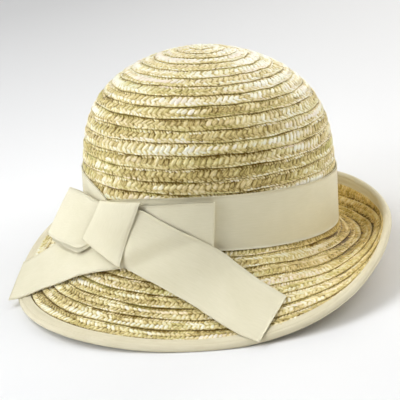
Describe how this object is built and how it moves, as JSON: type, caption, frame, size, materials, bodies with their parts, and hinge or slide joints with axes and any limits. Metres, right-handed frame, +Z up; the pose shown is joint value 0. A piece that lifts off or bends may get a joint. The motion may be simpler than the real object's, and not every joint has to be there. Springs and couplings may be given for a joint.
{
  "type": "straw cloche hat",
  "caption": "Straw cloche hat with a rounded crown of sewn braid rows, a brim upturned at the back, a ribbon band and a flat ribbon bow.",
  "frame": {"origin": "middle of the footprint box, on the surface that the hat rests on", "axes": "+Z up; -Y to the front of the hat, where the bow is; +X to the wearer's left"},
  "size_m": [0.3052, 0.3082, 0.1687],
  "materials": {
    "straw": "plaited wheat straw, pale yellow, satin",
    "ribbon": "matte cream plain-weave ribbon",
    "binding": "matte cream ribbon binding"
  },
  "bodies": {
    "root": {"crown": "straw", "brim": "straw", "hat_band": "ribbon", "rim_binding": "binding", "bow_knot": "ribbon", "bow_loop_left": "ribbon", "bow_loop_right": "ribbon", "bow_tail_left": "ribbon", "bow_tail_right": "ribbon"}
  },
  "joints": []
}
